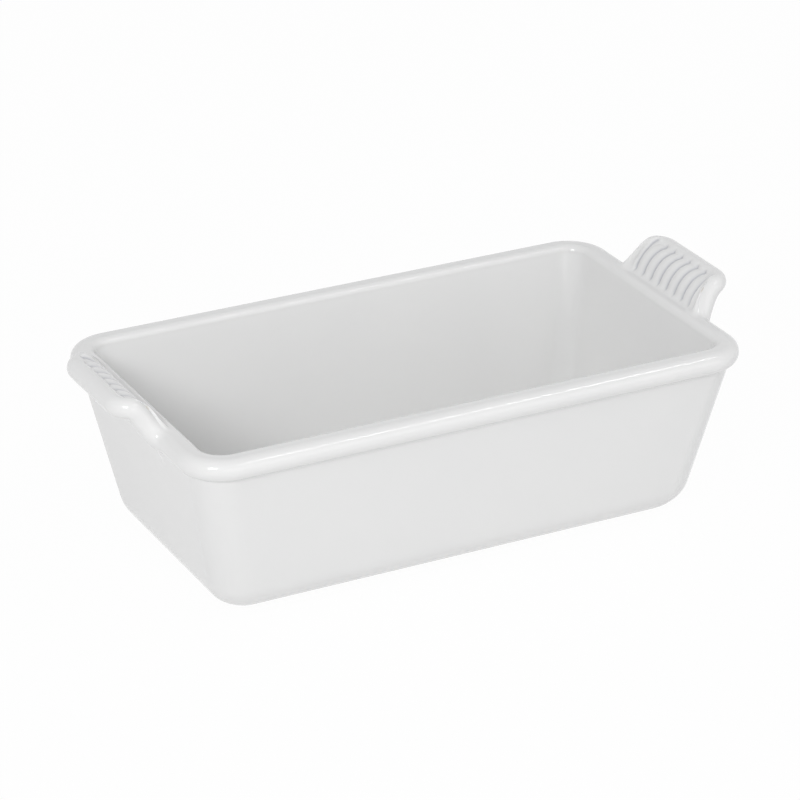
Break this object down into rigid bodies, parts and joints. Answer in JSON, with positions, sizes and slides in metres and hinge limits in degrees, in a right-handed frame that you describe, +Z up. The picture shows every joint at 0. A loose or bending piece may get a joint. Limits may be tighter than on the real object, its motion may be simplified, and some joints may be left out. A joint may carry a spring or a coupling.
{
  "type": "loaf pan",
  "caption": "Deep tapered rectangular baking dish in white glazed stoneware, with a rolled rim and a ribbed lug handle at each end.",
  "frame": {"origin": "centre of the resting plane under the pan's foot", "axes": "+X along the pan through both handles, +Y across it, +Z up out of the mouth"},
  "size_m": [0.2808, 0.14, 0.0913],
  "materials": {
    "bare_stoneware": "matte unglazed fired clay",
    "white_glaze": "gloss white glaze"
  },
  "bodies": {
    "root": {"stoneware_body": "bare_stoneware", "interior_glaze": "white_glaze", "exterior_glaze": "white_glaze", "underside_glaze": "white_glaze"}
  },
  "joints": []
}
